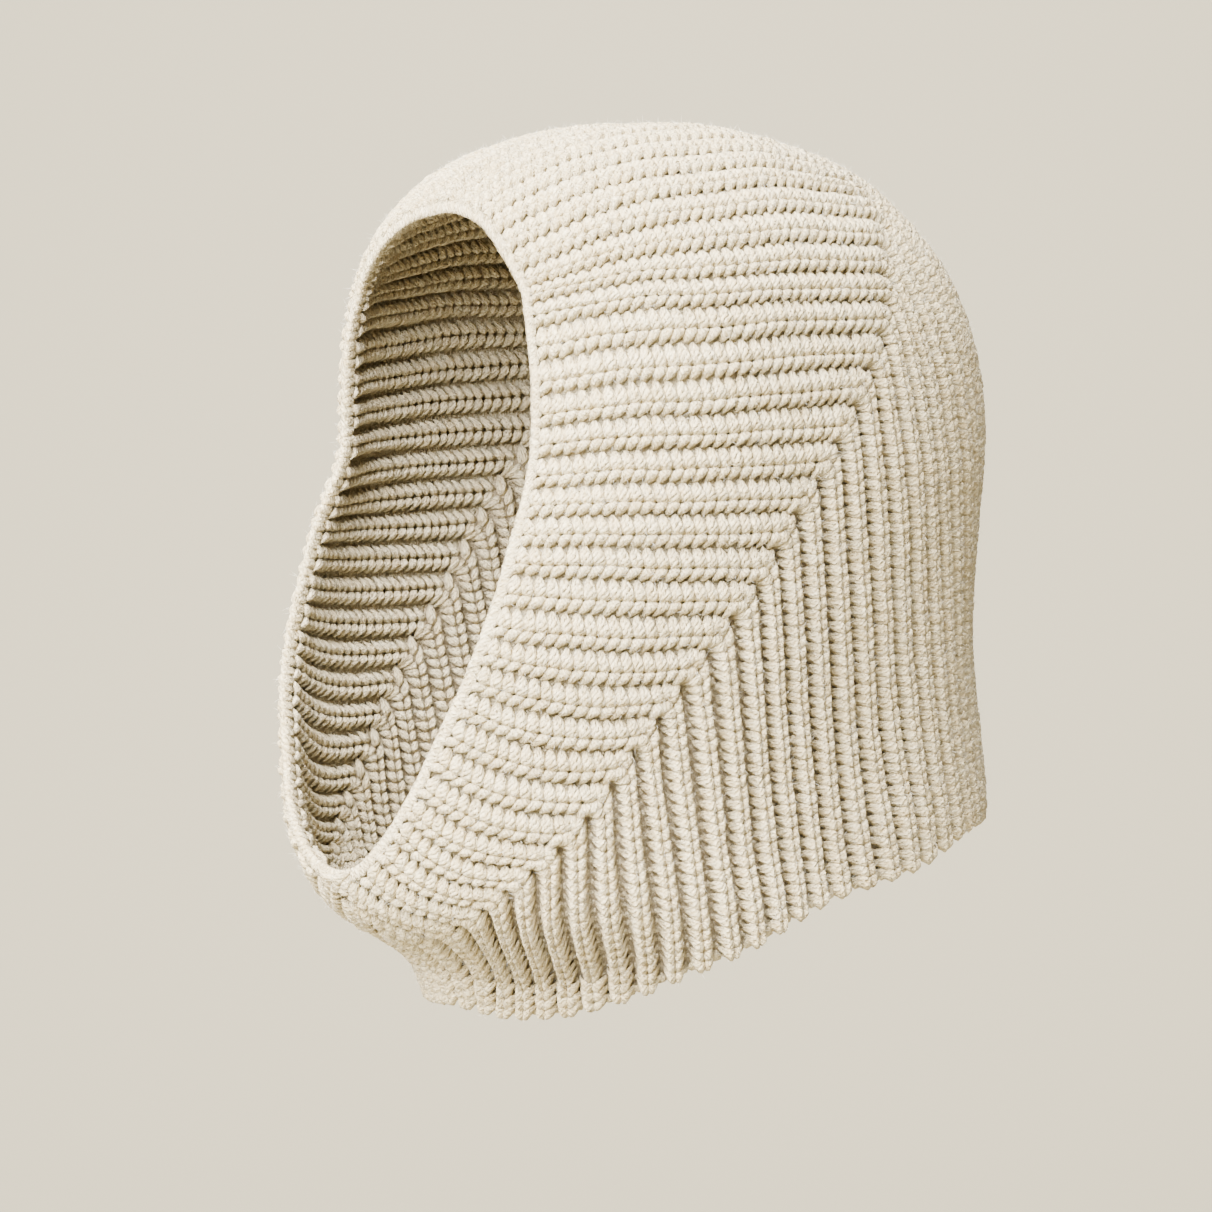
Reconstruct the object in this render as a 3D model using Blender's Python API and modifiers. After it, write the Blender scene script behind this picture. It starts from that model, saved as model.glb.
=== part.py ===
"""Knit balaclava hood in a chunky fisherman's rib, in the form that it has when worn.

The front panel's ribs run from front to back: over the crown, along both sides and round under the chin.
The back panel's ribs run straight down. The two meet rib for rib along a slanting mitre on each side. A
plain edge closes the face opening, and a bound-off band closes the neck.

Metres, +Z up. The face looks towards -Y and the hood's left side is +X. The origin is at the top of the
inside of the crown, where the hood sits.
"""
from collections import namedtuple
from math import cos, exp, pi, radians, sin, atan2

import bmesh
import bpy
from mathutils import Vector

# Driving dimensions of the head form, over the crests of the ribs
HALF_WIDTH = 0.084       # centre plane to the side, at the widest girth
FRONT_REACH = 0.089      # girth centre to the front, at the widest girth
BACK_REACH = 0.110       # girth centre to the back, at the widest girth
CROWN_HEIGHT = 0.093     # widest girth up to the top
SKIRT_DEPTH = 0.168      # widest girth down to the lowest point of the hem

# Driving dimensions of the knit
RIBS_A_SIDE = 33         # ribs from the crown line to the middle of the chin
KNIT_THICKNESS = 0.0034  # the sheet itself, from its outer to its inner face
RIB_RELIEF = 0.0026      # how far a crest stands over the grooves beside it
EDGE_WIDTH = 0.0042      # edge of the face opening
EDGE_PROUD = 0.0002      # how far an edge stands over the crests
WELT_HEIGHT = 0.0100     # tallest part of the hem band, under the chin
GAP = 0.0003             # clearance between neighbouring pieces

# Mesh density
ROWS_IN_FRONT_RIB = 9
ROWS_IN_BACK_RIB = 7
SIDES_OF_EDGE = 8
EDGE_STATIONS = 42       # rings of the face edge from the crown line to the chin

LENGTH = FRONT_REACH + BACK_REACH
HEIGHT = CROWN_HEIGHT + SKIRT_DEPTH
WALL = KNIT_THICKNESS + RIB_RELIEF
GIRTH_LEVEL = WALL - CROWN_HEIGHT
SQUARENESS = 2.2         # exponent of the level sections: 2 is an ellipse
CROWN_ROUNDING = {"side": 2.8, "front": 2.4, "back": 2.0}

# Level sections below the widest girth. depth is a share of SKIRT_DEPTH; side, front and back are shares of
# HALF_WIDTH, FRONT_REACH and BACK_REACH; chin is the exponent of the section's front half.
Section = namedtuple("Section", "depth side front back chin")
SECTIONS = [
    Section(0.00, 1.000, 1.00, 1.00, 2.2),
    Section(0.18, 0.990, 1.19, 0.98, 2.2),
    Section(0.36, 0.967, 1.31, 0.97, 2.2),
    Section(0.54, 0.935, 1.27, 1.01, 2.2),
    Section(0.68, 0.926, 1.23, 1.035, 2.1),
    Section(0.80, 0.932, 1.11, 0.97, 1.9),
    Section(0.92, 0.905, 0.79, 0.91, 1.7),
    Section(1.07, 0.808, 0.67, 0.85, 1.62),
]

# Where ribs begin, turn and end. Each row says which rib, counted from the crown line, passes nearest to a
# point of the head form: across, along and down are shares of HALF_WIDTH, LENGTH and HEIGHT.
CHART_RIBS = 33
RIM_ENDS_AT = 31
Guide = namedtuple("Guide", "rib across along down")
FACE_RIM = [
    Guide(0.0, 0.000, -0.338, 0.092), Guide(2.5, 0.140, -0.341, 0.098), Guide(4.5, 0.293, -0.346, 0.112),
    Guide(7.5, 0.523, -0.351, 0.168), Guide(10.0, 0.599, -0.353, 0.212), Guide(12.5, 0.654, -0.356, 0.301),
    Guide(15.5, 0.662, -0.371, 0.399), Guide(18.5, 0.691, -0.414, 0.490), Guide(20.5, 0.676, -0.441, 0.557),
    Guide(22.5, 0.634, -0.463, 0.614), Guide(24.5, 0.550, -0.485, 0.673), Guide(26.5, 0.456, -0.504, 0.730),
    Guide(28.5, 0.351, -0.521, 0.778), Guide(29.5, 0.262, -0.528, 0.805), Guide(30.3, 0.150, -0.532, 0.828),
    Guide(31.0, 0.000, -0.533, 0.837),
]
UNDER_CHIN = [
    Guide(31.0, 0.0, -0.533, 0.837), Guide(32.0, 0.0, -0.485, 0.873), Guide(33.0, 0.0, -0.430, 0.902),
]
RIB_MIDDLE = [
    Guide(0.0, 0.000, -0.010, 0.000), Guide(2.5, 0.330, -0.025, 0.010), Guide(4.5, 0.588, -0.050, 0.032),
    Guide(6.5, 0.756, -0.097, 0.077), Guide(8.5, 0.871, -0.130, 0.142), Guide(10.5, 0.926, -0.146, 0.204),
    Guide(12.5, 0.953, -0.153, 0.283), Guide(14.5, 0.957, -0.154, 0.358), Guide(16.5, 0.961, -0.155, 0.430),
    Guide(18.5, 0.945, -0.185, 0.503), Guide(20.5, 0.863, -0.297, 0.576), Guide(22.5, 0.810, -0.333, 0.647),
    Guide(24.5, 0.730, -0.378, 0.714), Guide(26.5, 0.635, -0.420, 0.777), Guide(28.5, 0.478, -0.462, 0.825),
    Guide(30.5, 0.270, -0.474, 0.866), Guide(31.5, 0.145, -0.457, 0.885), Guide(33.0, 0.000, -0.425, 0.906),
]
MITRE = [
    Guide(0.0, 0.000, 0.236, 0.035), Guide(2.5, 0.290, 0.238, 0.045), Guide(4.5, 0.506, 0.236, 0.062),
    Guide(6.5, 0.661, 0.231, 0.082), Guide(8.5, 0.822, 0.211, 0.136), Guide(10.5, 0.910, 0.196, 0.199),
    Guide(12.5, 0.968, 0.150, 0.272), Guide(14.5, 0.994, 0.086, 0.353), Guide(16.5, 0.997, 0.012, 0.427),
    Guide(18.5, 0.983, -0.055, 0.502), Guide(20.5, 0.954, -0.129, 0.575), Guide(22.5, 0.906, -0.203, 0.646),
    Guide(24.5, 0.847, -0.264, 0.715), Guide(26.5, 0.763, -0.332, 0.783), Guide(28.5, 0.633, -0.389, 0.835),
    Guide(30.5, 0.435, -0.418, 0.881), Guide(31.5, 0.255, -0.423, 0.901), Guide(33.0, 0.000, -0.419, 0.912),
]
HEM = [
    Guide(0.0, 0.000, 0.563, 0.800), Guide(4.5, 0.363, 0.530, 0.801), Guide(9.0, 0.655, 0.425, 0.807),
    Guide(12.5, 0.818, 0.292, 0.837), Guide(16.5, 0.922, 0.098, 0.865), Guide(20.5, 0.906, -0.055, 0.913),
    Guide(22.5, 0.813, -0.130, 0.939), Guide(24.5, 0.670, -0.187, 0.967), Guide(26.5, 0.506, -0.236, 0.988),
    Guide(28.5, 0.350, -0.275, 0.996), Guide(30.5, 0.200, -0.304, 0.995), Guide(33.0, 0.000, -0.322, 0.989),
]

# Height of the hem band at some ribs, as a share of WELT_HEIGHT
Band = namedtuple("Band", "rib height")
HEM_BAND = [Band(0.0, 0.36), Band(21.5, 0.36), Band(23.5, 0.40), Band(25.5, 0.74), Band(27.5, 1.0),
            Band(33.0, 1.0)]

# Soft hollows of the worn knit: turn and width are degrees round from the face, down and tall are shares of
# HEIGHT, and depth is a share of HALF_WIDTH.
Hollow = namedtuple("Hollow", "turn width down tall depth")
HOLLOWS = [Hollow(117.0, 15.0, 0.60, 0.13, 0.040)]


def spline(stations, values, at):
    """Cubic curve through the values, with each slope taken across the neighbouring rows."""
    span = 0
    while span < len(stations) - 2 and at > stations[span + 1]:
        span += 1
    width = stations[span + 1] - stations[span]

    def slope(row):
        low, high = max(row - 1, 0), min(row + 1, len(stations) - 1)
        return (values[high] - values[low]) / (stations[high] - stations[low])

    t = (at - stations[span]) / width
    rise = values[span + 1] - values[span]
    start, end = slope(span) * width, slope(span + 1) * width
    return values[span] + t * (start + t * (3 * rise - 2 * start - end + t * (start + end - 2 * rise)))


def section_value(name, depth):
    """One column of SECTIONS at a depth, level where it joins the crown."""
    stations = [-SECTIONS[1].depth] + [row.depth for row in SECTIONS]
    values = [getattr(SECTIONS[1], name)] + [getattr(row, name) for row in SECTIONS]
    return spline(stations, values, depth)


def outwardness(point):
    """1 on the head form, less inside it. It grows in proportion along a ray from the girth's centre, or
    from the upright axis below the girth."""
    front = point.y < 0
    reach = FRONT_REACH if front else BACK_REACH
    above = point.z - GIRTH_LEVEL
    if above >= 0:
        side, ahead = abs(point.x) / HALF_WIDTH, abs(point.y) / reach
        level = side ** SQUARENESS + ahead ** SQUARENESS
        if level < 1e-12:
            return above / CROWN_HEIGHT
        sideways = side ** 2 / (side ** 2 + ahead ** 2)
        end = CROWN_ROUNDING["front" if front else "back"]
        rounding = CROWN_ROUNDING["side"] * sideways + end * (1 - sideways)
        return (level ** (rounding / SQUARENESS) + (above / CROWN_HEIGHT) ** rounding) ** (1 / rounding)
    depth = -above / SKIRT_DEPTH
    side = abs(point.x) / (HALF_WIDTH * section_value("side", depth))
    ahead = abs(point.y) / (reach * section_value("front" if front else "back", depth))
    exponent = section_value("chin", depth) if front else SQUARENESS
    return (side ** exponent + ahead ** exponent) ** (1 / exponent)


def outward_normal(point):
    """Unit normal of the head form at a point on it."""
    step = 0.00005
    slopes = []
    for axis in range(3):
        offset = Vector((0, 0, 0))
        offset[axis] = step
        slopes.append(outwardness(point + offset) - outwardness(point - offset))
    return Vector(slopes).normalized()


def hollow_depth(point):
    """How far the worn knit sinks in at a point."""
    turn = abs(atan2(point.x, -point.y))
    down = (WALL - point.z) / HEIGHT
    depth = 0.0
    for hollow in HOLLOWS:
        round_off = (turn - radians(hollow.turn)) / radians(hollow.width)
        down_off = (down - hollow.down) / hollow.tall
        depth += hollow.depth * HALF_WIDTH * exp(-0.5 * (round_off ** 2 + down_off ** 2))
    return depth


def onto_form(point):
    """The point of the head form on the ray through a nearby point, hollows included."""
    if point.z >= GIRTH_LEVEL:
        centre = Vector((0, 0, GIRTH_LEVEL))
    else:
        centre = Vector((0, 0, point.z))
    landed = centre + (point - centre) / outwardness(point)
    return landed - outward_normal(landed) * hollow_depth(landed)


def mirrored(table):
    """A table of guides carried over both ends to the other side of the centre plane."""
    last = table[-1].rib
    before = [Guide(-row.rib, -row.across, row.along, row.down) for row in (table[2], table[1])]
    after = [Guide(2 * last - row.rib, -row.across, row.along, row.down) for row in (table[-2], table[-3])]
    return before + table + after


def guide_point(table, rib):
    """Where a guide line passes a rib, near the head form."""
    stations = [row.rib for row in table]
    across = spline(stations, [row.across for row in table], rib)
    along = spline(stations, [row.along for row in table], rib)
    down = spline(stations, [row.down for row in table], rib)
    return Vector((across * HALF_WIDTH, along * LENGTH, WALL - down * HEIGHT))


def chart_rib(column, columns):
    """The chart's rib number at one of the evenly numbered columns."""
    return CHART_RIBS * column / columns


def front_rib_point(rib, share):
    """A point of a front rib: share 0 at the face, or under the chin, and 1 at the mitre."""
    start = guide_point(mirrored(FACE_RIM), rib) if rib < RIM_ENDS_AT else guide_point(UNDER_CHIN, rib)
    middle = guide_point(mirrored(RIB_MIDDLE), rib)
    end = guide_point(mirrored(MITRE), rib)
    first, second = (middle - start).length, (end - middle).length
    turn = first / (first + second)
    point = (start * ((share - turn) * (share - 1) / turn)
             + middle * (share * (share - 1) / (turn * (turn - 1)))
             + end * (share * (share - turn) / (1 - turn)))
    return onto_form(point)


def back_rib_point(rib, share):
    """A point of a back rib: share 0 at the mitre and 1 at the hem."""
    start = guide_point(mirrored(MITRE), rib)
    end = guide_point(mirrored(HEM), rib)
    return onto_form(start.lerp(end, share))


def share_at(rib_point, rib, end_share, distance):
    """How far along a rib it lies a distance away from the rib's end."""
    end = rib_point(rib, end_share)
    near, far = end_share, 1 - end_share
    for _ in range(30):
        middle = (near + far) / 2
        if (rib_point(rib, middle) - end).length < distance:
            near = middle
        else:
            far = middle
    return near


def band_height(rib):
    """Height of the hem band under a back rib."""
    share = spline([row.rib for row in HEM_BAND], [row.height for row in HEM_BAND], rib)
    return WELT_HEIGHT * share


def flat_on_centre(point, on_centre):
    """Drops a point of the centre plane exactly on it."""
    return Vector((0, point.y, point.z)) if on_centre else point


def link_half(name, mesh_maker, collection, colour):
    """Makes a sub-part from a half that is open at the centre plane, mirrored to the whole."""
    mesh = bpy.data.meshes.new(name)
    half = bmesh.new()
    mesh_maker(half)
    bmesh.ops.remove_doubles(half, verts=half.verts, dist=1e-7)
    half.to_mesh(mesh)
    half.free()
    piece = bpy.data.objects.new(name, mesh)
    collection.objects.link(piece)
    piece.data.materials.append(yarn_material(name + "_yarn", colour))
    other_side = piece.modifiers.new("other side", "MIRROR")
    other_side.use_axis = (True, False, False)
    other_side.use_clip = True
    other_side.merge_threshold = 0.00002
    return piece


def yarn_material(name, colour):
    """Matt cream wool."""
    material = bpy.data.materials.new(name)
    material.use_nodes = True
    shader = material.node_tree.nodes["Principled BSDF"]
    shader.inputs["Base Color"].default_value = (*colour, 1.0)
    shader.inputs["Roughness"].default_value = 0.9
    shader.inputs["Metallic"].default_value = 0.0
    return material


def ribbed_wall(half, rib_point, shares, rows, open_start):
    """Adds a ribbed sheet: crests on the even columns, grooves on the odd ones, and one thickness within.

    shares(rib) gives where the sheet starts and ends on a rib. open_start(column) says whether the sheet's
    start lies on the centre plane, where it stays open for the mirror.
    """
    columns = 2 * RIBS_A_SIDE
    outer, inner = [], []
    for column in range(columns + 1):
        rib = chart_rib(column, columns)
        start, end = shares(rib)
        sink = RIB_RELIEF if column % 2 else 0.0
        outer_line, inner_line = [], []
        for row in range(rows + 1):
            point = rib_point(rib, start + (end - start) * row / rows)
            on_centre = column in (0, columns) or (row == 0 and open_start(column))
            normal = outward_normal(point)
            surface = flat_on_centre(point - normal * sink, on_centre)
            lining = flat_on_centre(point - normal * (sink + KNIT_THICKNESS), on_centre)
            outer_line.append(half.verts.new(surface))
            inner_line.append(half.verts.new(lining))
        outer.append(outer_line)
        inner.append(inner_line)
    for column in range(columns):
        for row in range(rows):
            here, there = outer[column], outer[column + 1]
            half.faces.new((here[row], there[row], there[row + 1], here[row + 1]))
            here, there = inner[column], inner[column + 1]
            half.faces.new((here[row], here[row + 1], there[row + 1], there[row]))
        if not open_start(column + 1):
            half.faces.new((outer[column][0], inner[column][0], inner[column + 1][0], outer[column + 1][0]))
        half.faces.new((outer[column][-1], outer[column + 1][-1], inner[column + 1][-1], inner[column][-1]))


def rim_column():
    """The column at which the face opening ends, under the chin."""
    return round(2 * RIBS_A_SIDE * RIM_ENDS_AT / CHART_RIBS)


def front_panel(half):
    """Ribs from the face opening, or from under the chin, to the mitre."""
    def shares(rib):
        start = share_at(front_rib_point, rib, 0, GAP) if rib < RIM_ENDS_AT else 0.0
        return start, share_at(front_rib_point, rib, 1, GAP)

    ribbed_wall(half, front_rib_point, shares, ROWS_IN_FRONT_RIB, lambda column: column > rim_column())


def back_panel(half):
    """Ribs from the mitre to the hem band."""
    def shares(rib):
        return (share_at(back_rib_point, rib, 0, GAP),
                share_at(back_rib_point, rib, 1, band_height(rib) + GAP))

    ribbed_wall(half, back_rib_point, shares, ROWS_IN_BACK_RIB, lambda column: False)


def rolled_edge(half, rings):
    """Joins rings of points, the first and the last on the centre plane, into an open tube."""
    loops = []
    for number, ring in enumerate(rings):
        on_centre = number in (0, len(rings) - 1)
        loops.append([half.verts.new(flat_on_centre(point, on_centre)) for point in ring])
    for this, following in zip(loops, loops[1:]):
        for side in range(len(this)):
            turn = (side + 1) % len(this)
            half.faces.new((this[side], this[turn], following[turn], following[side]))


def oval_ring(centre, through, along, half_through, half_along):
    """Points of an oval round a centre, turning from through towards along."""
    ring = []
    for side in range(SIDES_OF_EDGE):
        angle = 2 * pi * side / SIDES_OF_EDGE
        ring.append(centre + through * (cos(angle) * half_through) + along * (sin(angle) * half_along))
    return ring


def edge_share(share):
    """Spreads the rings of the face edge: even at the top, and closer together under the chin."""
    return share * (1.35 - 0.35 * share)


def face_edge(half):
    """The plain edge round the face opening, a roll just in front of the ribs' ends."""
    stations = EDGE_STATIONS
    line = [front_rib_point(RIM_ENDS_AT * edge_share(number / stations), 0) for number in range(stations)]
    line.append(front_rib_point(RIM_ENDS_AT, 0))
    rings = []
    for number, point in enumerate(line):
        before, after = line[max(number - 1, 0)], line[min(number + 1, stations)]
        tangent = after - before
        if number in (0, stations):
            tangent = Vector((1, 0, 0)) if number == 0 else Vector((-1, 0, 0))
        normal = outward_normal(point)
        into_opening = tangent.cross(normal).normalized()
        centre = point + into_opening * (EDGE_WIDTH / 2) - normal * (WALL / 2)
        rings.append(oval_ring(centre, normal, into_opening, WALL / 2 + EDGE_PROUD, EDGE_WIDTH / 2))
    rolled_edge(half, rings)


def hem_band(half):
    """The bound-off band under the back ribs, taller under the chin."""
    stations = RIBS_A_SIDE
    rings = []
    for number in range(stations + 1):
        rib = chart_rib(number, stations)
        bottom = back_rib_point(rib, 1)
        top = back_rib_point(rib, share_at(back_rib_point, rib, 1, band_height(rib)))
        normal = outward_normal((bottom + top) / 2)
        upwards = (top - bottom).normalized()
        centre = (bottom + top) / 2 - normal * (WALL / 2)
        rings.append(oval_ring(centre, normal, upwards, WALL / 2 + EDGE_PROUD, band_height(rib) / 2))
    rolled_edge(half, rings)


def remove_everything():
    """Empties the file of objects."""
    for thing in list(bpy.data.objects):
        bpy.data.objects.remove(thing, do_unlink=True)


def build():
    """Makes the four pieces in one collection."""
    remove_everything()
    hood = bpy.data.collections.new("knit_balaclava")
    bpy.context.scene.collection.children.link(hood)
    cream = (0.83, 0.79, 0.70)
    shaded_cream = (0.76, 0.72, 0.62)
    link_half("front_panel", front_panel, hood, cream)
    link_half("back_panel", back_panel, hood, cream)
    link_half("face_edge", face_edge, hood, shaded_cream)
    link_half("hem_band", hem_band, hood, shaded_cream)


build()
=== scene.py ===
# %% [markdown]
# # A chunky knit balaclava, stitch by stitch
# The imported model gives us a frame: the solid panels of the hood, in metres. We load it and then dress
# it in real yarn. Everything we add stays where the frame is.

# %% Load the frame
from collections import namedtuple
from math import pi, radians

import bmesh
import bpy
import numpy as np
from mathutils import Matrix, Vector


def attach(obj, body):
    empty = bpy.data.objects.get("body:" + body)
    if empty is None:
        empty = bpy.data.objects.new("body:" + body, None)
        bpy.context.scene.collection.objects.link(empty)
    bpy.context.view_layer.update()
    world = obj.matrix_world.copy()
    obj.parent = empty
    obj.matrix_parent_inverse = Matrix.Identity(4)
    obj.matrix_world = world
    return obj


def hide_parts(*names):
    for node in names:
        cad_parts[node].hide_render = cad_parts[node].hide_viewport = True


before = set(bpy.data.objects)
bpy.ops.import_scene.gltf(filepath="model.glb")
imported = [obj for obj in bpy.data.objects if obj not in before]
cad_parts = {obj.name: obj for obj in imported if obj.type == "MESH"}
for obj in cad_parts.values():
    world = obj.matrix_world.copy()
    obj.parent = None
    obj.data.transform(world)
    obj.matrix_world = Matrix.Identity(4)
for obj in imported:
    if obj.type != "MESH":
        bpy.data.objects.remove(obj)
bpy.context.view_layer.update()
print("pieces of the frame:", sorted(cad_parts))

# %% [markdown]
# ## Camera
# The hood is seen from its left front, a little above the eye line, with a long lens from 1.5 m away, so
# that the perspective is gentle. We set the camera first, because everything is judged through it.

# %% Camera
LENS = 150
CAMERA_PLACE = (1.2555, -0.8258, -0.0461)
looks_at = Vector((0.0, -0.0100, -0.1367))
camera_data = bpy.data.cameras.new("studio_camera")
camera_data.lens = LENS
camera_data.sensor_width = 36
camera = bpy.data.objects.new("studio_camera", camera_data)
camera.location = CAMERA_PLACE
camera.rotation_euler = (looks_at - camera.location).to_track_quat("-Z", "Y").to_euler()
bpy.context.scene.collection.objects.link(camera)
bpy.context.scene.camera = camera
print("camera stands", round((camera.location - looks_at).length, 3), "m away")

# %% [markdown]
# ## The form of the hood
# A knit hood has no form of its own: it takes the one of a head. We describe that form once, as a rounded
# crown and a stack of level sections below it, with the same measures as the solid panels. Every stitch is
# then laid on this form.

# %% Sizes of the form and of the knit
HALF_WIDTH, FRONT_REACH, BACK_REACH = 0.084, 0.089, 0.110
CROWN_HEIGHT, SKIRT_DEPTH = 0.093, 0.168
WALL = 0.0060
RIBS_A_SIDE = 33
LENGTH = FRONT_REACH + BACK_REACH
HEIGHT = CROWN_HEIGHT + SKIRT_DEPTH
GIRTH_LEVEL = WALL - CROWN_HEIGHT
SQUARENESS = 2.2
SIDE_ROUNDING, FRONT_ROUNDING, BACK_ROUNDING = 2.8, 2.4, 2.0

# Level sections below the widest girth, as shares: depth, side, front, back, and the chin's exponent
Section = namedtuple("Section", "depth side front back chin")
SECTIONS = [
    Section(-0.18, 0.990, 1.19, 0.98, 2.2), Section(0.00, 1.000, 1.00, 1.00, 2.2),
    Section(0.18, 0.990, 1.19, 0.98, 2.2), Section(0.36, 0.967, 1.31, 0.97, 2.2),
    Section(0.54, 0.935, 1.27, 1.01, 2.2), Section(0.68, 0.926, 1.23, 1.035, 2.1),
    Section(0.80, 0.932, 1.11, 0.97, 1.9), Section(0.92, 0.905, 0.79, 0.91, 1.7),
    Section(1.07, 0.808, 0.67, 0.85, 1.62),
]


# %% A smooth curve through a table
def curve_through(rows, at):
    """Smooth curve through a table's rows, for many places at once: the first column says where."""
    table = np.array(rows, float)
    stations, values = table[:, 0], table[:, 1:]
    slope = np.empty_like(values)
    slope[1:-1] = (values[2:] - values[:-2]) / (stations[2:] - stations[:-2])[:, None]
    slope[0] = (values[1] - values[0]) / (stations[1] - stations[0])
    slope[-1] = (values[-1] - values[-2]) / (stations[-1] - stations[-2])
    at = np.atleast_1d(np.asarray(at, float))
    span = np.clip(np.searchsorted(stations, at) - 1, 0, len(stations) - 2)
    width = (stations[span + 1] - stations[span])[:, None]
    share = (at - stations[span])[:, None] / width
    rise = values[span + 1] - values[span]
    start, end = slope[span] * width, slope[span + 1] * width
    return values[span] + share * (start + share * (3 * rise - 2 * start - end
                                                    + share * (start + end - 2 * rise)))


# %% How far out a point lies, and which way is out
def outwardness(points):
    """1 on the form, less inside it, growing in proportion along a ray from its middle."""
    x, y, z = points.T
    front = y < 0
    side, ahead = np.abs(x) / HALF_WIDTH, np.abs(y) / np.where(front, FRONT_REACH, BACK_REACH)
    above = z - GIRTH_LEVEL
    sideways = side ** 2 / np.maximum(side ** 2 + ahead ** 2, 1e-12)
    rounding = SIDE_ROUNDING * sideways + np.where(front, FRONT_ROUNDING, BACK_ROUNDING) * (1 - sideways)
    level = side ** SQUARENESS + ahead ** SQUARENESS
    up = np.maximum(above, 0) / CROWN_HEIGHT
    crown = (level ** (rounding / SQUARENESS) + up ** rounding) ** (1 / rounding)
    section = curve_through(SECTIONS, np.maximum(-above, 0) / SKIRT_DEPTH)
    exponent = np.where(front, section[:, 3], SQUARENESS)
    along = ahead / np.where(front, section[:, 1], section[:, 2])
    skirt = ((side / section[:, 0]) ** exponent + along ** exponent) ** (1 / exponent)
    return np.where(above >= 0, crown, skirt)


def way_out(points):
    """Unit normals of the form at points near it."""
    step = 0.00005
    slopes = []
    for axis in range(3):
        offset = np.zeros(3)
        offset[axis] = step
        slopes.append(outwardness(points + offset) - outwardness(points - offset))
    slopes = np.array(slopes).T
    return slopes / np.linalg.norm(slopes, axis=1, keepdims=True)


# %% [markdown]
# The worn knit isn't stretched tight everywhere. Soft hollows, such as the one at the side of the nape,
# sink the form in a little.

# %% Soft hollows, and landing on the form
Hollow = namedtuple("Hollow", "turn width down tall depth")
HOLLOWS = [Hollow(turn=117.0, width=15.0, down=0.60, tall=0.13, depth=0.040)]


def hollow_depth(points):
    """How far the knit sinks in at each point."""
    turn = np.abs(np.arctan2(points[:, 0], -points[:, 1]))
    down = (WALL - points[:, 2]) / HEIGHT
    depth = np.zeros(len(points))
    for hollow in HOLLOWS:
        round_off = (turn - radians(hollow.turn)) / radians(hollow.width)
        down_off = (down - hollow.down) / hollow.tall
        depth += hollow.depth * HALF_WIDTH * np.exp(-0.5 * (round_off ** 2 + down_off ** 2))
    return depth


def onto_form(points):
    """Moves points that lie near the form onto it."""
    centre = np.zeros_like(points)
    centre[:, 2] = np.minimum(points[:, 2], GIRTH_LEVEL)
    landed = centre + (points - centre) / outwardness(points)[:, None]
    return landed - way_out(landed) * hollow_depth(landed)[:, None]


# %% [markdown]
# ## Where the ribs run
# Front ribs run from the face opening back over the head. At a slanting mitre each one turns and runs
# straight down to the hem. Short tables say where the ribs begin, pass, turn and end. They are the knitter's
# chart: which rib, and how far across, along and down, as shares of the form's size.

# %% The rib chart
Guide = namedtuple("Guide", "rib across along down")
RIM_ENDS_AT = 31
FACE_RIM = [
    Guide(0.0, 0.000, -0.338, 0.092), Guide(2.5, 0.140, -0.341, 0.098), Guide(4.5, 0.293, -0.346, 0.112),
    Guide(7.5, 0.523, -0.351, 0.168), Guide(10.0, 0.599, -0.353, 0.212), Guide(12.5, 0.654, -0.356, 0.301),
    Guide(15.5, 0.662, -0.371, 0.399), Guide(18.5, 0.691, -0.414, 0.490), Guide(20.5, 0.676, -0.441, 0.557),
    Guide(22.5, 0.634, -0.463, 0.614), Guide(24.5, 0.550, -0.485, 0.673), Guide(26.5, 0.456, -0.504, 0.730),
    Guide(28.5, 0.351, -0.521, 0.778), Guide(29.5, 0.262, -0.528, 0.805), Guide(30.3, 0.150, -0.532, 0.828),
    Guide(31.0, 0.000, -0.533, 0.837),
]
UNDER_CHIN = [
    Guide(31.0, 0.0, -0.533, 0.837), Guide(32.0, 0.0, -0.485, 0.873), Guide(33.0, 0.0, -0.430, 0.902),
]
RIB_MIDDLE = [
    Guide(0.0, 0.000, -0.010, 0.000), Guide(2.5, 0.330, -0.025, 0.010), Guide(4.5, 0.588, -0.050, 0.032),
    Guide(6.5, 0.756, -0.097, 0.077), Guide(8.5, 0.871, -0.130, 0.142), Guide(10.5, 0.926, -0.146, 0.204),
    Guide(12.5, 0.953, -0.153, 0.283), Guide(14.5, 0.957, -0.154, 0.358), Guide(16.5, 0.961, -0.155, 0.430),
    Guide(18.5, 0.945, -0.185, 0.503), Guide(20.5, 0.863, -0.297, 0.576), Guide(22.5, 0.810, -0.333, 0.647),
    Guide(24.5, 0.730, -0.378, 0.714), Guide(26.5, 0.635, -0.420, 0.777), Guide(28.5, 0.478, -0.462, 0.825),
    Guide(30.5, 0.270, -0.474, 0.866), Guide(31.5, 0.145, -0.457, 0.885), Guide(33.0, 0.000, -0.425, 0.906),
]
MITRE = [
    Guide(0.0, 0.000, 0.236, 0.035), Guide(2.5, 0.290, 0.238, 0.045), Guide(4.5, 0.506, 0.236, 0.062),
    Guide(6.5, 0.661, 0.231, 0.082), Guide(8.5, 0.822, 0.211, 0.136), Guide(10.5, 0.910, 0.196, 0.199),
    Guide(12.5, 0.968, 0.150, 0.272), Guide(14.5, 0.994, 0.086, 0.353), Guide(16.5, 0.997, 0.012, 0.427),
    Guide(18.5, 0.983, -0.055, 0.502), Guide(20.5, 0.954, -0.129, 0.575), Guide(22.5, 0.906, -0.203, 0.646),
    Guide(24.5, 0.847, -0.264, 0.715), Guide(26.5, 0.763, -0.332, 0.783), Guide(28.5, 0.633, -0.389, 0.835),
    Guide(30.5, 0.435, -0.418, 0.881), Guide(31.5, 0.255, -0.423, 0.901), Guide(33.0, 0.000, -0.419, 0.912),
]
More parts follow.
